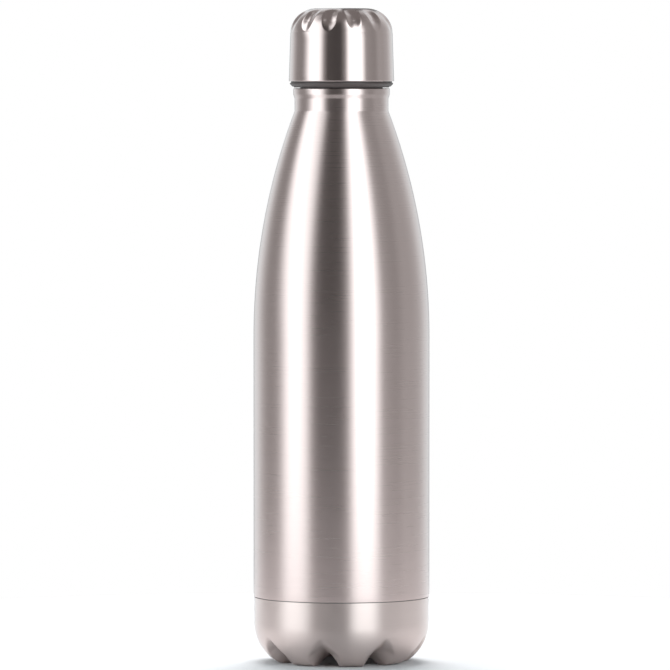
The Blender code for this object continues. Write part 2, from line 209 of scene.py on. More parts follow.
def electropolished_steel():
    """18/8 stainless dissolved smooth in an acid bath: bright, with a soft orange-peel ripple of nine
    waves to 10 mm."""
    material, tree, shader = new_material("electropolished_steel")
    place = add(tree, "TexCoord").outputs["Object"]
    ripple = add(tree, "TexNoise", {"Vector": place, "Scale": 9 / (10 * MM), "Detail": 2.0})
    rough = add(tree, "MapRange", {0: ripple.outputs[0], 3: 0.16, 4: 0.24})
    bump = add(tree, "Bump", {"Height": ripple.outputs[0], "Strength": 0.15, "Distance": 0.05 * MM})
    shader.inputs["Base Color"].default_value = linear("#CFC8C4")
    shader.inputs["Metallic"].default_value = 1.0
    tree.links.new(rough.outputs[0], shader.inputs["Roughness"])
    tree.links.new(bump.outputs[0], shader.inputs["Normal"])
    return material


flask_steel = electropolished_steel()
flask_bend_turn = atan2(FLASK_R - FLASK_NECK_R, FLASK_NECK_Z - FLASK_SHOULDER_Z) * 2
flask_corner_z = FLASK_NECK_Z - (FLASK_R - FLASK_NECK_R) / tan(flask_bend_turn)
flask_line = outline(
    (FLASK_NECK_R - SHEET / 2, LIP_Z, 0), (FLASK_NECK_R, LIP_Z, 0.15),
    (FLASK_NECK_R, FLASK_NECK_Z, FLASK_NECK_EASE), (FLASK_R, flask_corner_z, FLASK_BEND),
    (FLASK_R, FLASK_LOW_Z, 0.1), (FLASK_R - SHEET, FLASK_LOW_Z, 0.1),
    (FLASK_R - SHEET, flask_corner_z, FLASK_BEND - SHEET),
    (FLASK_NECK_R - SHEET, FLASK_NECK_Z, FLASK_NECK_EASE), (FLASK_NECK_R - SHEET, LIP_Z, 0.15),
    (FLASK_NECK_R - SHEET / 2, LIP_Z, 0))
flask = lathe(finer(flask_line, low=FLASK_NECK_Z + 2, high=LIP_Z - 0.5, step=0.25), sides=160)
for vert in flask.verts:
    away = hypot(vert.co.x, vert.co.y)
    if vert.co.z > FLASK_NECK_Z * MM:
        rolled = thread_height(vert.co.z / MM, atan2(vert.co.y, vert.co.x),
                               STOPPER_THREAD_Z + THREAD_PITCH / 2, NECK_RIDGE_HALF)
        vert.co.xy = vert.co.xy * (1 - THREAD_DEPTH * MM * rolled / away)
piece_of(flask, "flask_wall", flask_steel, "bottle", "inner_flask")

# ------------------------------------------------------------- inner flask's base
# A disc of the flask's steel, pressed into a low dome and welded round its edge to close the flask's
# foot. It is electropolished with the flask.
DOME_Z = 23.5
DOME_R = 15.0
DOME_EDGE_Z = DOME_Z - 0.7
DOME_ROUND = 40.0
BASE_TOP_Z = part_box("inner_flask_base")[1].z / MM
SKIRT_LOW_Z = BASE_TOP_Z - 6.5               # where its upright skirt turns in
GUTTER_Z = BASE_TOP_Z - 8.3
GUTTER_R = FLASK_R - 4.5

base_line = outline(
    (0.0, DOME_Z, 0), (DOME_R, DOME_EDGE_Z, DOME_ROUND), (GUTTER_R, GUTTER_Z, 4.5),
    (FLASK_R, SKIRT_LOW_Z, 3.0), (FLASK_R, BASE_TOP_Z, 0.1), (FLASK_R - SHEET, BASE_TOP_Z, 0.1),
    (FLASK_R - SHEET, SKIRT_LOW_Z + SHEET, 2.8), (GUTTER_R - 0.1, GUTTER_Z + SHEET, 4.2),
    (DOME_R, DOME_EDGE_Z + SHEET, DOME_ROUND), (0.0, DOME_Z + SHEET, 0))
piece_of(lathe(base_line, sides=128), "flask_base", flask_steel, "bottle", "inner_flask_base")

# ------------------------------------------------------------------------- getter
# A pellet of pressed zirconium alloy that soaks up the last gas in the vacuum. It sits in a strip of
# mill-finish steel, bent to a hat and spot-welded under the flask's base.
CLIP_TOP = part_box("getter_clip")[1].z / MM
CLIP_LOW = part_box("getter_clip")[0].z / MM
CLIP_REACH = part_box("getter_clip")[1].x / MM
CLIP_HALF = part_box("getter_clip")[1].y / MM  # half of the strip's width
CLIP_LEG = 5.2                               # from the middle to where the strip turns down
CLIP_BEND = 0.7
PELLET_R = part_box("getter_pellet")[1].x / MM
PELLET_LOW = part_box("getter_pellet")[0].z / MM
PELLET_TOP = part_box("getter_pellet")[1].z / MM


def mill_steel():
    """Cold-rolled sheet as it leaves the mill: grey, matt, with faint rolling lines one way, three to
    the millimetre."""
    material, tree, shader = new_material("mill_finish_steel")
    place = add(tree, "TexCoord").outputs["Object"]
    drawn = add(tree, "VectorMath", {0: place, 1: (3 / MM, 0.06 / MM, 3 / MM)}, operation="MULTIPLY")
    lines = add(tree, "TexNoise", {"Vector": drawn.outputs[0], "Scale": 1.0, "Detail": 3.0})
    rough = add(tree, "MapRange", {0: lines.outputs[0], 3: 0.38, 4: 0.52})
    bump = add(tree, "Bump", {"Height": lines.outputs[0], "Strength": 0.2, "Distance": 0.03 * MM})
    shader.inputs["Base Color"].default_value = linear("#B4B1AE")
    shader.inputs["Metallic"].default_value = 1.0
    tree.links.new(rough.outputs[0], shader.inputs["Roughness"])
    tree.links.new(bump.outputs[0], shader.inputs["Normal"])
    return material


def pressed_powder():
    """Sintered metal powder: dark, dull, with an open grain of about 0.25 mm."""
    material, tree, shader = new_material("sintered_zirconium")
    place = add(tree, "TexCoord").outputs["Object"]
    grain = add(tree, "TexVoronoi", {"Vector": place, "Scale": 1 / (0.25 * MM)})
    tone = add(tree, "ValToRGB", {"Fac": grain.outputs["Distance"]})
    tone.color_ramp.elements[0].color = linear("#5A5A5C")
    tone.color_ramp.elements[1].color = linear("#2E2E30")
    bump = add(tree, "Bump", {"Height": grain.outputs["Distance"], "Strength": 0.5,
                              "Distance": 0.1 * MM})
    shader.inputs["Metallic"].default_value = 0.6
    shader.inputs["Roughness"].default_value = 0.75
    tree.links.new(tone.outputs[0], shader.inputs["Base Color"])
    tree.links.new(bump.outputs[0], shader.inputs["Normal"])
    return material


sheet_steel = mill_steel()
clip_over = [(-CLIP_REACH, CLIP_TOP, 0), (-CLIP_LEG, CLIP_TOP, CLIP_BEND),
             (-CLIP_LEG, CLIP_LOW + SHEET, CLIP_BEND), (CLIP_LEG, CLIP_LOW + SHEET, CLIP_BEND),
             (CLIP_LEG, CLIP_TOP, CLIP_BEND), (CLIP_REACH, CLIP_TOP, 0)]
clip = bmesh.new()
spots = [clip.verts.new((x * MM, -CLIP_HALF * MM, (z - SHEET) * MM)) for x, z in outline(*clip_over)]
edges = [clip.edges.new(pair) for pair in zip(spots, spots[1:])]
grown = bmesh.ops.extrude_edge_only(clip, edges=edges)["geom"]
bmesh.ops.translate(clip, verts=[g for g in grown if isinstance(g, bmesh.types.BMVert)],
                    vec=(0, 2 * CLIP_HALF * MM, 0))
bmesh.ops.recalc_face_normals(clip, faces=clip.faces)
bmesh.ops.solidify(clip, geom=clip.faces[:], thickness=-SHEET * MM)
bmesh.ops.recalc_face_normals(clip, faces=clip.faces)
piece_of(clip, "getter_strip", sheet_steel, "bottle", "getter_clip")

pellet_line = outline((0.0, PELLET_TOP, 0), (PELLET_R, PELLET_TOP, 0.3), (PELLET_R, PELLET_LOW, 0.3),
                      (0.0, PELLET_LOW, 0), step=0.8)
piece_of(lathe(pellet_line, sides=48), "getter_tablet", pressed_powder(), "bottle", "getter_pellet")

# ---------------------------------------------------------------------- foil wrap
# Copper foil wound once round the flask, which sends its heat back. It is smoothed down by hand, so it
# keeps shallow creases, and its end laps over its start.
FOIL_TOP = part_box("copper_foil_wrap")[1].z / MM
FOIL_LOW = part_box("copper_foil_wrap")[0].z / MM
FOIL_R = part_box("copper_foil_wrap")[1].x / MM
FOIL_SHEET = 0.1
CREASE = 0.08                                # mm, how far a crease stands in
CREASE_WAVES = ((7, 90.0), (11, -230.0))     # two that cross: crests round the flask, slant per metre


def copper_foil():
    """Bright rolled copper, with painted shade darker in the dips of its creases, which lie about 6 mm
    apart.
    """
    material, tree, shader = new_material("rolled_copper_foil")
    place = add(tree, "TexCoord").outputs["Object"]
    creases = add(tree, "TexNoise", {"Vector": place, "Scale": 1 / (6.25 * MM), "Detail": 5.0,
                                     "Distortion": 1.2})
    # painted shade: the noise that bumps the creases also darkens the copper where they dip and lightens
    # it on their crests
    tone = add(tree, "ValToRGB", {"Fac": creases.outputs[0]})
    tone.color_ramp.elements[0].color = linear("#A8623F")
    tone.color_ramp.elements[1].color = linear("#E29C74")
    bump = add(tree, "Bump", {"Height": creases.outputs[0], "Strength": 0.6, "Distance": 0.3 * MM})
    shader.inputs["Metallic"].default_value = 1.0
    shader.inputs["Roughness"].default_value = 0.26
    tree.links.new(tone.outputs[0], shader.inputs["Base Color"])
    tree.links.new(bump.outputs[0], shader.inputs["Normal"])
    return material


foil_fold_z = FLASK_SHOULDER_Z + (FOIL_TOP - FLASK_SHOULDER_Z) / 2
foil_top_r = FOIL_R - (FOIL_TOP - FLASK_SHOULDER_Z) ** 2 / (2 * FLASK_BEND)
foil_line = outline(
    (foil_top_r, FOIL_TOP, 0), (FOIL_R, foil_fold_z, FLASK_BEND), (FOIL_R, FOIL_LOW, 0),
    (FOIL_R - FOIL_SHEET, FOIL_LOW, 0), (FOIL_R - FOIL_SHEET, foil_fold_z, FLASK_BEND - FOIL_SHEET),
    (foil_top_r - FOIL_SHEET, FOIL_TOP, 0), (foil_top_r, FOIL_TOP, 0))
foil = lathe(foil_line, sides=128)
for vert in foil.verts:
    away = hypot(vert.co.x, vert.co.y)
    angle = atan2(vert.co.y, vert.co.x)
    wave = prod(sin(crests * angle + slant * vert.co.z) for crests, slant in CREASE_WAVES)
    vert.co.xy = vert.co.xy * (1 - CREASE * MM * wave * wave / away)
piece_of(foil, "foil_wrap", copper_foil(), "bottle", "copper_foil_wrap")

# -------------------------------------------------------------------- outer shell
# The wall that is held: 18/8 stainless steel tube with a hydroformed shoulder, a rolled lip that is welded
# to the flask's mouth, and turning marks from the belt that brushed it while it spun.
BODY_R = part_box("outer_shell")[1].x / MM
SHELL_LOW_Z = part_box("outer_shell")[0].z / MM
SHOULDER_Z = 130.0
SHOULDER_BEND = 253.0
NECK_R = 18.65
NECK_FOOT_Z = 219.3
LIP_R = 19.2
LIP_CREST_R = 18.2
LIP_INNER_R = 17.6                           # where the lip meets the flask's mouth
LIP_UPRIGHT_Z = LIP_Z - 2.4                  # from here the lip draws in
LIP_WAIST_Z = LIP_Z - 4.0                    # to here, where it is as narrow as the neck


def brushed_steel(name, tone, rough_low, rough_high, lean, one_way):
    """18/8 stainless brushed while it turns. The fine scratches run round the piece, so it mirrors
    crisply sideways and smears upwards and downwards. Lines are drawn 0.3 mm apart, as coarse as
    shows, where the belt leaves about 0.05 mm."""
    material, tree, shader = new_material(name)
    marks = turning_marks(tree, line_mm=0.3, run_mm=45.0, lean=lean)
    rough = add(tree, "MapRange", {0: marks.outputs[0], 1: 0.25, 2: 0.75, 3: rough_low, 4: rough_high})
    shade = add(tree, "MixRGB", {"Fac": marks.outputs[0], "Color1": linear(tone[0]),
                                 "Color2": linear(tone[1])})
    bump = add(tree, "Bump", {"Height": marks.outputs[0], "Strength": 0.02, "Distance": 0.02 * MM})
    shader.inputs["Metallic"].default_value = 1.0
    shader.inputs["Anisotropic"].default_value = one_way
    shader.inputs["Anisotropic Rotation"].default_value = 0.25
    tree.links.new(shade.outputs[0], shader.inputs["Base Color"])
    tree.links.new(rough.outputs[0], shader.inputs["Roughness"])
    tree.links.new(bump.outputs[0], shader.inputs["Normal"])
    return material


shell_steel = brushed_steel("brushed_stainless_body", ("#CEBCB8", "#D3C2BE"), 0.27, 0.29, lean=-1.0,
                            one_way=0.75)
shoulder_turn = atan2(BODY_R - NECK_R, NECK_FOOT_Z - SHOULDER_Z) * 2
shoulder_corner_z = SHOULDER_Z + SHOULDER_BEND * tan(shoulder_turn / 2)
shell_line = outline(
    (LIP_CREST_R, LIP_Z, 0), (LIP_R, LIP_Z, 0.5), (LIP_R, LIP_UPRIGHT_Z, 0.9), (NECK_R, LIP_WAIST_Z, 0.9),
    (NECK_R, NECK_FOOT_Z, 1.0), (BODY_R, shoulder_corner_z, SHOULDER_BEND),
    (BODY_R, SHELL_LOW_Z, 0.12), (BODY_R - SHEET, SHELL_LOW_Z, 0.1),
    (BODY_R - SHEET, shoulder_corner_z, SHOULDER_BEND - SHEET),
    (NECK_R - SHEET, NECK_FOOT_Z, 1.0), (NECK_R - SHEET, LIP_WAIST_Z + 0.1, 0.8),
    (LIP_R - SHEET, LIP_UPRIGHT_Z + 0.1, 0.8), (LIP_R - SHEET, LIP_Z - SHEET, 0.2),
    (LIP_INNER_R, LIP_Z - SHEET, 0.15), (LIP_INNER_R, LIP_Z, 0.15), (LIP_CREST_R, LIP_Z, 0))
piece_of(lathe(shell_line, sides=256), "shell_wall", shell_steel, "bottle", "outer_shell")

# ----------------------------------------------------------------- vacuum end plate
# A plate pressed from mill-finish sheet, with a turned-up rim that is welded inside the shell. The air
# was drawn out through the hole in its dimple.
PLATE_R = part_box("vacuum_end_plate")[1].x / MM
PLATE_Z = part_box("vacuum_end_plate")[0].z / MM
PLATE_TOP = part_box("vacuum_end_plate")[1].z / MM
PLATE_ROUND = 5.0
PORT_R = 0.75
DIMPLE_ROOF = PLATE_Z + 1.4
DIMPLE_R = 5.0
DIMPLE_FOOT_R = 6.5

plate_line = outline(
    (PORT_R, DIMPLE_ROOF + SHEET, 0), (PORT_R, DIMPLE_ROOF, 0.05), (DIMPLE_R, DIMPLE_ROOF, 0.8),
    (DIMPLE_FOOT_R, PLATE_Z, 0.8), (PLATE_R, PLATE_Z, PLATE_ROUND), (PLATE_R, PLATE_TOP, 0.1),
    (PLATE_R - SHEET, PLATE_TOP, 0.1), (PLATE_R - SHEET, PLATE_Z + SHEET, PLATE_ROUND - SHEET),
    (DIMPLE_FOOT_R + SHEET, PLATE_Z + SHEET, 0.8), (DIMPLE_R + SHEET, DIMPLE_ROOF + SHEET, 0.8),
    (PORT_R, DIMPLE_ROOF + SHEET, 0))
piece_of(lathe(plate_line, sides=128), "end_plate", sheet_steel, "bottle", "vacuum_end_plate")

# ------------------------------------------------------------------ glass seal bead
# A drop of lead-free solder glass that closes the port in the end plate. It was melted over the hole
# while the bottle stood in the vacuum oven.
BEAD_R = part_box("glass_seal_bead")[1].x / MM
BEAD_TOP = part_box("glass_seal_bead")[1].z / MM
BEAD_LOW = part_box("glass_seal_bead")[0].z / MM


def solder_glass():
    """Lead-free solder glass: near-black, shiny where it flowed, with small bubbles under the skin,
    eighteen to 10 mm."""
    material, tree, shader = new_material("fused_solder_glass")
    place = add(tree, "TexCoord").outputs["Object"]
    bubbles = add(tree, "TexVoronoi", {"Vector": place, "Scale": 18 / (10 * MM)})
    tone = add(tree, "ValToRGB", {"Fac": bubbles.outputs["Distance"]})
    tone.color_ramp.elements[0].color = linear("#4B5148")
    tone.color_ramp.elements[1].color = linear("#1E221D")
    shader.inputs["Roughness"].default_value = 0.12
    shader.inputs["IOR"].default_value = 1.7
    tree.links.new(tone.outputs[0], shader.inputs["Base Color"])
    return material


bead_line = outline(
    (0.0, BEAD_TOP, 0), (BEAD_R * 0.75, BEAD_TOP - 0.1, 2.0), (BEAD_R, BEAD_TOP - 0.9, 0.25),
    (BEAD_R * 0.7, BEAD_LOW + 0.15, 1.5), (0.0, BEAD_LOW, 0), step=0.5)
piece_of(lathe(bead_line, sides=64), "port_bead", solder_glass(), "bottle", "glass_seal_bead")

# ------------------------------------------------------------------------ base cup
# The outer bottom, pressed from stainless sheet to eight feet with a V-shaped dent between each two, and
# welded round under the shell. It is brushed apart from the shell, so its finish is a little duller.
CUP_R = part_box("base_cup")[1].x / MM
CUP_TOP_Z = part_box("base_cup")[1].z / MM
FEET = 8
CUP_ROUND = 18.7                             # mm, the large round from the wall to the feet
CUP_ROUND_Z = 16.0
TOE_ANGLE = radians(52)                      # where the toe's smaller round takes over
FOOT_FLAT = 2.2
HEEL_ROUND = 4.0
HEEL_ANGLE = radians(50)
DENT_TOP_Z = 12.6
DENT_HALF = 12.0                             # degrees to each side where a dent is widest
DENT_OPENS = 9.5                             # mm of its length over which it grows to that
DENT_CURVE = 1.4                             # 1 would be a sharp V, and more rounds its bottom
CENTRE_Z = 3.4
CENTRE_R = 14.5                              # reach of the low dome in the cup's middle
CUP_RINGS = 84                               # rings of faces from the dents' tops to the middle
FLOOR_STEPS = 96


def arc(middle, radius, start, end, steps):
    """Points on an arc, angles in radians from +r towards +z."""
    turns = [start + (end - start) * k / steps for k in range(steps + 1)]
    return [Vector((middle[0] + radius * cos(t), middle[1] + radius * sin(t))) for t in turns]


def evenly(points, count):
    """count + 1 points at even lengths along a line of points."""
    lengths = [0.0]
    for a, b in zip(points, points[1:]):
        lengths.append(lengths[-1] + (b - a).length)
    result = []
    span = 0
    for k in range(count + 1):
        want = lengths[-1] * k / count
        while span < len(points) - 2 and lengths[span + 1] < want:
            span += 1
        share = (want - lengths[span]) / (lengths[span + 1] - lengths[span])
        result.append(points[span].lerp(points[span + 1], min(share, 1.0)))
    return result


cup_steel = brushed_steel("brushed_stainless_base", ("#D7C7C2", "#DCCCC7"), 0.30, 0.33, lean=1.0,
                          one_way=0.95)
round_middle = (CUP_R - CUP_ROUND, CUP_ROUND_Z)
toe_round = (CUP_ROUND_Z - CUP_ROUND * sin(TOE_ANGLE)) / (1 - sin(TOE_ANGLE))
toe_middle = (round_middle[0] + (CUP_ROUND - toe_round) * cos(TOE_ANGLE), toe_round)
heel_middle = (toe_middle[0] - FOOT_FLAT, HEEL_ROUND)
dent_start = atan2(DENT_TOP_Z - CUP_ROUND_Z, CUP_ROUND)
foot_line = arc(round_middle, CUP_ROUND, dent_start, -TOE_ANGLE, steps=60)
foot_line += arc(toe_middle, toe_round, -TOE_ANGLE, -pi / 2, steps=20)[1:]
foot_line += arc(heel_middle, HEEL_ROUND, -pi / 2, -pi / 2 - HEEL_ANGLE, steps=16)
heel_end = foot_line[-1]
foot_line += outline((heel_end.x, heel_end.y), (CENTRE_R, CENTRE_Z - 0.4, 4.0), (0.0, CENTRE_Z, 0),
                     step=0.8)[1:]
foot_length = sum((b - a).length for a, b in zip(foot_line, foot_line[1:]))
floor_turns = [pi / 2 * k / FLOOR_STEPS for k in range(FLOOR_STEPS + 1)]
floor_line = [Vector((foot_line[0].x * cos(t), DENT_TOP_Z - (DENT_TOP_Z - CENTRE_Z) * sin(t)))
              for t in floor_turns]
foot_rings = evenly(foot_line, CUP_RINGS)
floor_rings = evenly(floor_line, CUP_RINGS)
wall_rings = arc(round_middle, CUP_ROUND, 0.0, dent_start, steps=4)[:-1]
wall_rings = [Vector((CUP_R, CUP_TOP_Z)), Vector((CUP_R, CUP_TOP_Z - 0.15)),
              Vector((CUP_R, CUP_TOP_Z - 3))] + wall_rings

cup = lathe(wall_rings + foot_rings, sides=384)
period = 2 * pi / FEET
ring_at = {}
for vert in cup.verts:
    away = hypot(vert.co.x, vert.co.y) / MM
    angle = atan2(vert.co.y, vert.co.x)
    if vert.co.z / MM > DENT_TOP_Z - 0.01 and away > CUP_R / 2:
        continue
    place = (round(away, 2), round(vert.co.z / MM, 2))
    if place not in ring_at:
        ring_at[place] = min(range(CUP_RINGS + 1),
                             key=lambda k: (foot_rings[k] - Vector(place)).length)
    ring = ring_at[place]
    opened = min(1.0, foot_length * ring / CUP_RINGS / DENT_OPENS)
    off = (angle / period - 0.5) % 1.0
    off = min(off, 1 - off) * 360 / FEET
    depth = 1 - min(1.0, off / max(DENT_HALF * opened, 0.001)) ** DENT_CURVE
    spot = foot_rings[ring].lerp(floor_rings[ring], depth)
    vert.co = (spot.x * cos(angle) * MM, spot.x * sin(angle) * MM, spot.y * MM)
bmesh.ops.recalc_face_normals(cup, faces=cup.faces)
bmesh.ops.solidify(cup, geom=cup.faces[:], thickness=SHEET * MM)
piece_of(cup, "base_feet", cup_steel, "bottle", "base_cup", crease=50)

# ------------------------------------------------------------------- stopper core
# The screw-in stopper, moulded in black polypropylene: a threaded plug with a flange that the cap's rim
# sits on, and a sleeve above it that the steel cap is pressed over. It turns with the cap.
CAP_CLOCKING = radians(-9)                   # turn of the closed cap's first ridge from +X
CORE_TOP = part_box("stopper_core")[1].z / MM
CAP_RIM_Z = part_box("cap_shell")[0].z / MM
CAP_RIM_R = 20.9
CAP_WAIST_R = 20.3
CAP_WAIST_Z = 250.0
CROWN_R = 14.5                               # the flat top, before it rounds down to the sleeve
SLEEVE_R = CAP_RIM_R - 0.8
FLANGE_R = CAP_RIM_R - SHEET
FLANGE_TOP = CAP_RIM_Z
FLANGE_EDGE_Z = FLANGE_TOP - 0.5             # its upright edge ends here and its bevel starts
FLANGE_FOOT_Z = FLANGE_TOP - 1.5
GROOVE_R = LIP_R + 0.1
GROOVE_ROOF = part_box("seal_ring")[1].z / MM + 0.3
COLLAR_R = 16.4                              # the smooth part inside the lip
PLUG_R = 15.2
PLUG_BORE = 13.8
PLUG_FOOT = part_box("stopper_end_disc")[0].z / MM
CORE_WALL = 1.4
CORE_RIDGE_HALF = 1.0                        # half of the width of the ridge on the plug


def black_polypropylene():
    """Moulded black polypropylene: a satin black with a fine spark-eroded grain of about 0.15 mm."""
    material, tree, shader = new_material("moulded_black_polypropylene")
    place = add(tree, "TexCoord").outputs["Object"]
    grain = add(tree, "TexNoise", {"Vector": place, "Scale": 1 / (0.15 * MM), "Detail": 2.0})
    rough = add(tree, "MapRange", {0: grain.outputs[0], 3: 0.42, 4: 0.56})
    bump = add(tree, "Bump", {"Height": grain.outputs[0], "Strength": 0.25, "Distance": 0.02 * MM})
    shader.inputs["Base Color"].default_value = linear("#4F4543")
    shader.inputs["IOR"].default_value = 1.49
    tree.links.new(rough.outputs[0], shader.inputs["Roughness"])
    tree.links.new(bump.outputs[0], shader.inputs["Normal"])
    return material


stopper_plastic = black_polypropylene()
core_line = outline(
    (0.0, CORE_TOP, 0), (CROWN_R, CORE_TOP, 2.0), (SLEEVE_R - 0.6, CAP_WAIST_Z - 1, 2.0),
    (SLEEVE_R, FLANGE_TOP, 0.05), (FLANGE_R, FLANGE_TOP, 0.08), (FLANGE_R, FLANGE_EDGE_Z, 0.1),
    (GROOVE_R + 0.2, FLANGE_FOOT_Z, 0.08), (GROOVE_R, FLANGE_FOOT_Z, 0.05),
    (GROOVE_R, GROOVE_ROOF, 0.1), (COLLAR_R, GROOVE_ROOF, 0.1), (COLLAR_R, LIP_Z - 4, 0.3),
    (PLUG_R, LIP_Z - 5, 0.5), (PLUG_R, PLUG_FOOT + 1.5, 0.1), (PLUG_BORE, PLUG_FOOT + 1.5, 0.1),
    (PLUG_BORE, FLANGE_TOP + 1.3, 1.0), (SLEEVE_R - CORE_WALL, FLANGE_TOP + 2.3, 1.0),
    (SLEEVE_R - CORE_WALL - 0.4, CAP_WAIST_Z - 2, 1.5), (CROWN_R - 0.7, CORE_TOP - CORE_WALL, 1.5),
    (0.0, CORE_TOP - CORE_WALL, 0))
core = lathe(finer(core_line, low=PLUG_FOOT + 2, high=LIP_Z - 5.2, step=0.18), sides=160)
for vert in core.verts:
    away = hypot(vert.co.x, vert.co.y) / MM
    if abs(away - PLUG_R) < 0.05:
        rise = thread_height(vert.co.z / MM, atan2(vert.co.y, vert.co.x) - CAP_CLOCKING,
                             STOPPER_THREAD_Z, CORE_RIDGE_HALF)
        vert.co.xy = vert.co.xy * (1 + THREAD_DEPTH * rise / away)
piece_of(core, "threaded_stopper", stopper_plastic, "cap", "stopper_core")

# ------------------------------------------------------------------- stopper foam
# Polyurethane foam, poured into the hollow stopper and set there. It keeps heat from leaving through
# the mouth.
FOAM_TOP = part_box("stopper_foam")[1].z / MM
FOAM_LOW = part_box("stopper_foam")[0].z / MM


def poured_foam():
    """Rigid cream foam with a skin of closed cells about 0.4 mm across."""
    material, tree, shader = new_material("poured_polyurethane_foam")
    place = add(tree, "TexCoord").outputs["Object"]
    cells = add(tree, "TexVoronoi", {"Vector": place, "Scale": 1 / (0.4 * MM)})
    tone = add(tree, "ValToRGB", {"Fac": cells.outputs["Distance"]})
    tone.color_ramp.elements[0].color = linear("#D9CFB4")
    tone.color_ramp.elements[1].color = linear("#F1EAD6")
    bump = add(tree, "Bump", {"Height": cells.outputs["Distance"], "Strength": 0.6,
                              "Distance": 0.2 * MM})
    shader.inputs["Roughness"].default_value = 0.9
    shader.inputs["Subsurface Weight"].default_value = 0.1
    tree.links.new(tone.outputs[0], shader.inputs["Base Color"])
    tree.links.new(bump.outputs[0], shader.inputs["Normal"])
    return material


foam_line = outline(
    (0.0, FOAM_TOP, 0), (PLUG_BORE - 0.4, FOAM_TOP, 1.5),
    (SLEEVE_R - 2.1, CAP_WAIST_Z - 2.2, 1.5), (SLEEVE_R - 1.7, FLANGE_TOP + 2.7, 0.8),
    (PLUG_BORE - 0.3, FLANGE_TOP + 1.7, 0.8), (PLUG_BORE - 0.3, FOAM_LOW, 0.4), (0.0, FOAM_LOW, 0))
piece_of(lathe(foam_line, sides=96), "foam_fill", poured_foam(), "cap", "stopper_foam")

# --------------------------------------------------------------- stopper end disc
# A disc moulded in the stopper's black polypropylene and spin-welded into the plug's foot. It shuts
# the drink out of the foam.
DISC_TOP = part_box("stopper_end_disc")[1].z / MM
DISC_SPIGOT_R = PLUG_BORE - 0.3              # the part that stands in the plug's bore
DISC_STEP_Z = PLUG_FOOT + 1.2
DISC_RECESS = 0.4
DISC_RECESS_R = 12.0

disc_line = outline(
    (0.0, DISC_TOP, 0), (DISC_SPIGOT_R, DISC_TOP, 0.2), (DISC_SPIGOT_R, DISC_STEP_Z, 0.1),
    (PLUG_R, DISC_STEP_Z, 0.1), (PLUG_R, PLUG_FOOT, 0.6), (DISC_RECESS_R, PLUG_FOOT, 0.3),
    (DISC_RECESS_R - DISC_RECESS, PLUG_FOOT + DISC_RECESS, 0.3), (0.0, PLUG_FOOT + DISC_RECESS, 0))
piece_of(lathe(disc_line, sides=128), "plug_foot", stopper_plastic, "cap", "stopper_end_disc")

# ---------------------------------------------------------------------- cap shell
# The steel cap: a cup deep-drawn from 0.4 mm stainless, with twelve grip flutes pressed into its top
# edge, brushed like the body and pressed over the stopper's sleeve.
CAP_TOP_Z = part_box("cap_shell")[1].z / MM
FLUTES = 12
FLUTE_DEPTH = 0.9
FLUTE_HALF = 3.1                             # mm, half of a flute's width
FLUTE_LOW_Z = 250.8
FLUTE_ROUND = 4.5                            # mm of height over which its lower end rounds off
FLUTE_LAST_R = 12.6                          # where a flute has faded out on the top
FLUTE_FADE = 4.0                             # mm of radius over which it fades
CAP_FLAT_R = 10.0                            # where the flat top ends
CAP_ROUND_Z = CAP_WAIST_Z + 0.5              # where the round from top to wall ends
CAP_EDGE_Z = CAP_RIM_Z + 0.6                 # the rim is rolled in, so steel shows from here up
CAP_HEART_Z = 240.0                          # the flutes are pressed towards this height on the axis
CAP_ROUND_STEPS = 48

cap_steel = brushed_steel("brushed_stainless_cap", ("#CEBCB8", "#D3C2BE"), 0.17, 0.21, lean=-1.0,
                          one_way=0.75)
cap_turns = [pi / 2 * k / CAP_ROUND_STEPS for k in range(CAP_ROUND_STEPS + 1)]
cap_line = [Vector((0.0, CAP_TOP_Z)), Vector((CAP_FLAT_R / 2, CAP_TOP_Z))]
cap_line += [Vector((CAP_FLAT_R + (CAP_WAIST_R - 0.1 - CAP_FLAT_R) * sin(t),
                     CAP_ROUND_Z + (CAP_TOP_Z - CAP_ROUND_Z) * cos(t))) for t in cap_turns]
cap_line += outline((CAP_WAIST_R, CAP_WAIST_Z, 0), (CAP_RIM_R, CAP_EDGE_Z + 0.2, 0.2),
                    (CAP_RIM_R - 0.15, CAP_EDGE_Z, 0))
cap = lathe(finer(cap_line, low=FLUTE_LOW_Z - 1, high=CAP_TOP_Z - 0.02, step=0.3), sides=432)
for vert in cap.verts:
    away = hypot(vert.co.x, vert.co.y) / MM
    height = vert.co.z / MM
    if away < FLUTE_LAST_R or height < FLUTE_LOW_Z:
        continue
    off = ((atan2(vert.co.y, vert.co.x) - CAP_CLOCKING) / (2 * pi) * FLUTES - 0.5) % 1.0
    across = min(off, 1 - off) * 2 * pi / FLUTES * away
    low_end = min(1.0, (height - FLUTE_LOW_Z) / FLUTE_ROUND)
    width = FLUTE_HALF * sqrt(low_end * (2 - low_end)) + 0.001
    fade = min(1.0, (away - FLUTE_LAST_R) / FLUTE_FADE)
    if across < width:
        depth = FLUTE_DEPTH * (1 - (across / width) ** 2) ** 1.5 * low_end
        outward = (vert.co - Vector((0, 0, CAP_HEART_Z * MM))).normalized()
        vert.co -= outward * depth * MM * eased(fade)
bmesh.ops.recalc_face_normals(cap, faces=cap.faces)
bmesh.ops.solidify(cap, geom=cap.faces[:], thickness=SHEET * MM)
piece_of(cap, "fluted_cap", cap_steel, "cap", "cap_shell", crease=50)

# ---------------------------------------------------------------------- seal ring
# A flat ring of black silicone, pressed between the stopper's flange and the bottle's lip. It stays in
# the stopper's groove and comes off with it.
SEAL_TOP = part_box("seal_ring")[1].z / MM
SEAL_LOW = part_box("seal_ring")[0].z / MM
SEAL_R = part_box("seal_ring")[1].x / MM
SEAL_INNER_R = 17.3


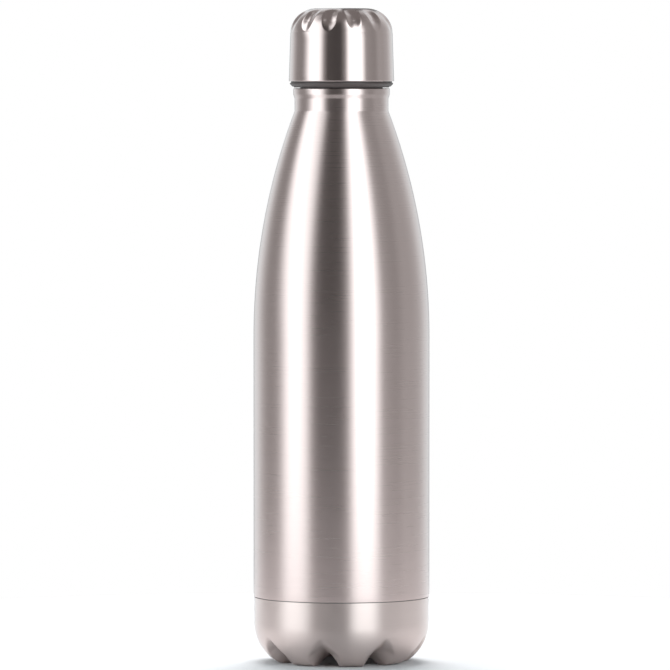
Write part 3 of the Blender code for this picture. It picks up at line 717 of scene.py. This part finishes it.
def black_silicone():
    """Moulded silicone rubber: a soft, matt black with a faint dusty sheen."""
    material, tree, shader = new_material("moulded_black_silicone")
    place = add(tree, "TexCoord").outputs["Object"]
    dust = add(tree, "TexNoise", {"Vector": place, "Scale": 1 / (0.5 * MM), "Detail": 3.0})
    rough = add(tree, "MapRange", {0: dust.outputs[0], 3: 0.58, 4: 0.72})
    shader.inputs["Base Color"].default_value = linear("#4B4341")
    shader.inputs["IOR"].default_value = 1.41
    shader.inputs["Sheen Weight"].default_value = 0.15
    shader.inputs["Sheen Roughness"].default_value = 0.5
    tree.links.new(rough.outputs[0], shader.inputs["Roughness"])
    return material


seal_line = outline(
    (SEAL_INNER_R + 0.5, SEAL_TOP, 0), (SEAL_R, SEAL_TOP, 0.25), (SEAL_R, SEAL_LOW, 0.25),
    (SEAL_INNER_R, SEAL_LOW, 0.2), (SEAL_INNER_R, SEAL_TOP, 0.2), (SEAL_INNER_R + 0.5, SEAL_TOP, 0))
piece_of(lathe(seal_line, sides=192), "silicone_seal", black_silicone(), "seal", "seal_ring")

# ------------------------------------------------------------------------- studio
# A round, pale table of painted board, in a studio whose lamps and flags stand all round it: they are
# the world's brightness by angle, with a tall light on each side and a dark gap between the two. One
# soft lamp high behind the bottle lights the table, so that the bottle's own shade shows on it.
TABLE_R = 330.0
TABLE_GAP = 0.05                             # keeps its face clear of the feet's


def matt_board():
    """Painted matt board: pale, flat, with the faint tooth of the paint roller."""
    material, tree, shader = new_material("matt_painted_board")
    place = add(tree, "TexCoord").outputs["Object"]
    tooth = add(tree, "TexNoise", {"Vector": place, "Scale": 1 / (2.0 * MM), "Detail": 3.0})
    bump = add(tree, "Bump", {"Height": tooth.outputs[0], "Strength": 0.05, "Distance": 0.2 * MM})
    shader.inputs["Base Color"].default_value = linear("#D5D6D8")
    shader.inputs["Roughness"].default_value = 0.95
    shader.inputs["Specular IOR Level"].default_value = 0.1
    tree.links.new(bump.outputs[0], shader.inputs["Normal"])
    return material


table = bmesh.new()
bmesh.ops.create_circle(table, cap_ends=True, segments=128, radius=TABLE_R * MM)
bmesh.ops.translate(table, verts=table.verts, vec=(0, 0, -TABLE_GAP * MM))
table_mesh = bpy.data.meshes.new("studio_table")
table.to_mesh(table_mesh)
table.free()
table_mesh.materials.append(matt_board())
studio_table = bpy.data.objects.new("studio_table", table_mesh)
bpy.context.scene.collection.objects.link(studio_table)

VIEW_SIDE = radians(-9)                      # the camera's direction from the front, seen from above
BRIGHTEST = 2.8
# Brightness all round at table height, by angle from the camera, + to its right
SURROUND = ((-180, 0.20), (-172, 0.24), (-162, 1.00), (-146, 1.10), (-136, 0.95), (-126, 0.66),
            (-114, 0.40), (-94, 0.34), (-85.5, 0.70), (-76.5, 1.80), (-70, 2.35), (-56, 2.35),
            (-48.5, 1.85), (-39.5, 0.42), (-32, 0.10), (-1, 0.08), (8.5, 0.36), (15.5, 1.90),
            (22, BRIGHTEST), (41, BRIGHTEST), (48, 1.85), (56, 0.50), (66, 0.42), (80, 0.38),
            (92, 0.54), (106, 0.52), (122, 0.62), (142, 1.00), (162, 1.00), (172, 0.24), (180, 0.20))
LAMP_TINT = (0.88, 0.97, 1.00)               # the lamps are a little cooler than the room
LEFT_LEAN = 0.80                             # how far the left lamp leans in per degree of height
RIGHT_LEAN = 0.02
LEAN_FROM = -87                              # up to this angle lamps have the left one's lean
LEAN_TO = -45                                # and from this one on the right one's
OVERHEAD = 0.25                              # brightness above the lamps
OVERHEAD_FROM = 0.70                         # sine of the angle of height where the lamps start to fade
OVERHEAD_TO = 0.92                           # and of the one where they have faded
BACKDROP = 1.00                              # what is seen behind the bottle: plain white

world = bpy.data.worlds.new("studio_surround")
world.use_nodes = True
bpy.context.scene.world = world
air = world.node_tree
look = add(air, "TexCoord").outputs["Generated"]
faced = add(air, "VectorRotate", {"Vector": look, "Angle": pi / 2 - VIEW_SIDE}, rotation_type="Z_AXIS")
around = add(air, "TexGradient", {"Vector": faced.outputs[0]}, gradient_type="RADIAL").outputs["Fac"]
height = add(air, "SeparateXYZ", {0: look}).outputs["Z"]
above = add(air, "Math", {0: height, 1: 0.0}, operation="MAXIMUM").outputs[0]
rise = add(air, "Math", {0: above}, operation="ARCSINE").outputs[0]
lean = add(air, "MapRange", {0: around, 1: 0.5 + LEAN_FROM / 360, 2: 0.5 + LEAN_TO / 360,
                             3: LEFT_LEAN / (2 * pi), 4: RIGHT_LEAN / (2 * pi)}).outputs[0]
leant = add(air, "Math", {0: rise, 1: lean, 2: around}, operation="MULTIPLY_ADD").outputs[0]
ring = add(air, "ValToRGB", {"Fac": leant})
while len(ring.color_ramp.elements) < len(SURROUND):
    ring.color_ramp.elements.new(0.5)
for stop, (side, level) in zip(ring.color_ramp.elements, SURROUND):
    stop.position = 0.5 + side / 360
    cool = min(level, 1.0)
    stop.color = (*[level / BRIGHTEST * (1 - cool + cool * tint) for tint in LAMP_TINT], 1.0)
overhead = add(air, "MapRange", {0: above, 1: OVERHEAD_FROM, 2: OVERHEAD_TO})
open_sky = add(air, "MixRGB", {"Fac": overhead.outputs[0], "Color1": ring.outputs[0],
                               "Color2": (*[OVERHEAD / BRIGHTEST] * 3, 1.0)})
seen = add(air, "LightPath").outputs["Is Camera Ray"]
shown = add(air, "MixRGB", {"Fac": seen, "Color1": open_sky.outputs[0],
                            "Color2": (*[BACKDROP / BRIGHTEST] * 3, 1.0)})
air.links.new(shown.outputs[0], air.nodes["Background"].inputs["Color"])
air.nodes["Background"].inputs["Strength"].default_value = BRIGHTEST

top_lamp = bpy.data.lights.new("top_softbox", "AREA")
top_lamp.size = 0.9
top_lamp.energy = 30
top_softbox = bpy.data.objects.new("top_softbox", top_lamp)
top_softbox.location = (0.1, 0.8, 1.3)
aim = Vector((0.0, 0.2, 0.0)) - top_softbox.location
top_softbox.rotation_euler = aim.to_track_quat("-Z", "Y").to_euler()
top_softbox.visible_glossy = False
bpy.context.scene.collection.objects.link(top_softbox)

# ------------------------------------------------------------------------- camera
# A long lens from well back, a little above the bottle's middle, so that its sides stay upright. The
# lens is shifted to hold the bottle in the middle of the frame.
VIEW_DISTANCE = 2.5
VIEW_HEIGHT = 0.2325
AIM_HEIGHT = 0.1305
lens = bpy.data.cameras.new("view")
lens.lens = 337.7
lens.sensor_width = 36.0
lens.shift_x = -0.0097
lens.shift_y = -0.0013
view = bpy.data.objects.new("view", lens)
view.location = (VIEW_DISTANCE * cos(VIEW_SIDE - pi / 2), VIEW_DISTANCE * sin(VIEW_SIDE - pi / 2),
                 VIEW_HEIGHT)
aim = Vector((0, 0, AIM_HEIGHT)) - view.location
view.rotation_euler = aim.to_track_quat("-Z", "Y").to_euler()
bpy.context.scene.collection.objects.link(view)
bpy.context.scene.camera = view
bpy.context.scene.view_settings.view_transform = "Standard"
